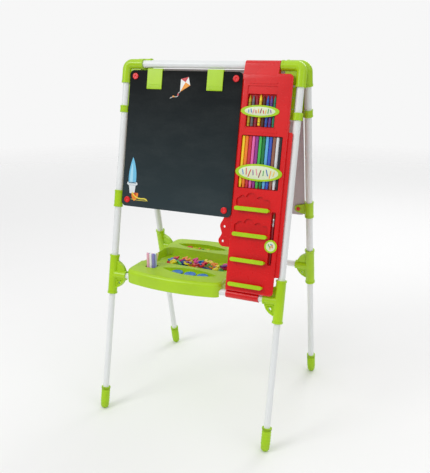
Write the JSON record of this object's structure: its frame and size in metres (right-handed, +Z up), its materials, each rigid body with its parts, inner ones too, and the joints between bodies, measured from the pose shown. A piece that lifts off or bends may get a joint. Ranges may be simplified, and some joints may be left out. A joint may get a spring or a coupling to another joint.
{
  "type": "kids easel",
  "caption": "Folding double-sided children's easel on white tube legs: dark chalkboard with a red pen caddy, whiteboard on the back, lime fittings and a lime tray hooked across the legs.",
  "frame": {"origin": "on the floor under the middle of the easel", "axes": "+Z up, the chalkboard faces -Y and the whiteboard faces +Y, +X to the right of a child at the chalkboard"},
  "size_m": [0.609, 0.5518, 1.136],
  "materials": {
    "white_tube": "white powder coat, low gloss",
    "lime_fitting": "moulded lime plastic, soft gloss",
    "lime_foot": "lime grippy rubber, satin",
    "lime_tray": "moulded lime plastic, soft gloss",
    "chalkboard": "hardboard with a matt dark chalk coat, bare brown back",
    "whiteboard": "hardboard with a glossy white dry-erase face over thin steel",
    "red_button": "glossy red plastic",
    "red_caddy": "glossy red plastic",
    "crayon_wax": "wax crayons in paper sleeves, mixed colours",
    "pen_plastic": "felt pens in mixed colours",
    "brush_wood": "lacquered dark red handle, bright ferrule",
    "chalk": "matt chalk in pastel colours",
    "marker_white": "glossy white plastic",
    "marker_navy": "glossy dark blue plastic",
    "magnet_plastic": "glossy plastic in mixed bright colours",
    "hinge_steel": "plain steel"
  },
  "bodies": {
    "chalk_frame": {"brush_retainer": "lime_fitting", "caddy_panel": "red_caddy", "caddy_shelf_1": "lime_fitting", "caddy_shelf_2": "lime_fitting", "caddy_shelf_3": "lime_fitting", "caddy_shelf_4": "lime_fitting", "chalk_cross_tube": "white_tube", "chalk_left_board_clip": "lime_fitting", "chalk_left_brace": "lime_fitting", "chalk_left_connector": "lime_fitting", "chalk_left_elbow": "lime_fitting", "chalk_left_foot": "lime_foot", "chalk_left_lower_leg": "white_tube", "chalk_left_upper_leg": "white_tube", "chalk_right_brace": "lime_fitting", "chalk_right_connector": "lime_fitting", "chalk_right_elbow": "lime_fitting", "chalk_right_foot": "lime_foot", "chalk_right_lower_leg": "white_tube", "chalk_right_upper_leg": "white_tube", "chalk_top_tube": "white_tube", "chalkboard": "chalkboard", "chalkboard_buttons": "red_button", "crayon_band": "lime_fitting", "crayons": "crayon_wax", "felt_pens": "pen_plastic", "left_hinge_pin": "hinge_steel", "paintbrush": "brush_wood", "pen_band": "lime_fitting", "right_hinge_pin": "hinge_steel"},
    "white_frame": {"magnet_bars": "magnet_plastic", "magnet_discs": "magnet_plastic", "magnet_figures": "magnet_plastic", "white_cross_tube": "white_tube", "white_left_board_clip": "lime_fitting", "white_left_brace": "lime_fitting", "white_left_connector": "lime_fitting", "white_left_elbow": "lime_fitting", "white_left_foot": "lime_foot", "white_left_lower_leg": "white_tube", "white_left_upper_leg": "white_tube", "white_right_board_clip": "lime_fitting", "white_right_brace": "lime_fitting", "white_right_connector": "lime_fitting", "white_right_elbow": "lime_fitting", "white_right_foot": "lime_foot", "white_right_lower_leg": "white_tube", "white_right_upper_leg": "white_tube", "white_top_tube": "white_tube", "whiteboard": "whiteboard", "whiteboard_buttons": "red_button"},
    "tray": {"chalk_sticks": "chalk", "marker_barrel": "marker_white", "marker_cap": "marker_navy", "tray": "lime_tray", "tray_discs": "magnet_plastic", "tray_figures": "magnet_plastic"},
    "left_paper_clip": {"left_paper_clip": "lime_fitting"},
    "right_paper_clip": {"right_paper_clip": "lime_fitting"}
  },
  "joints": [
    {"name": "frame_fold", "type": "hinge", "parent": "chalk_frame", "child": "white_frame", "pos_m": [0, 0, 1.12], "axis": [-1, 0, 0], "range_deg": [0, 24]},
    {"name": "tray_tilt", "type": "hinge", "parent": "chalk_frame", "child": "tray", "pos_m": [0, -0.16796, 0.45315], "axis": [1, 0, 0], "range_deg": [0, 26.5]},
    {"name": "left_paper_clip_slide", "type": "slide", "parent": "chalk_frame", "child": "left_paper_clip", "axis": [1, 0, 0], "range_m": [-0.018, 0.06]},
    {"name": "right_paper_clip_slide", "type": "slide", "parent": "chalk_frame", "child": "right_paper_clip", "axis": [1, 0, 0], "range_m": [-0.05, 0.025]}
  ],
  "couplings": [
    {"joint": "tray_tilt", "follows": "frame_fold", "ratio": 1.1}
  ]
}
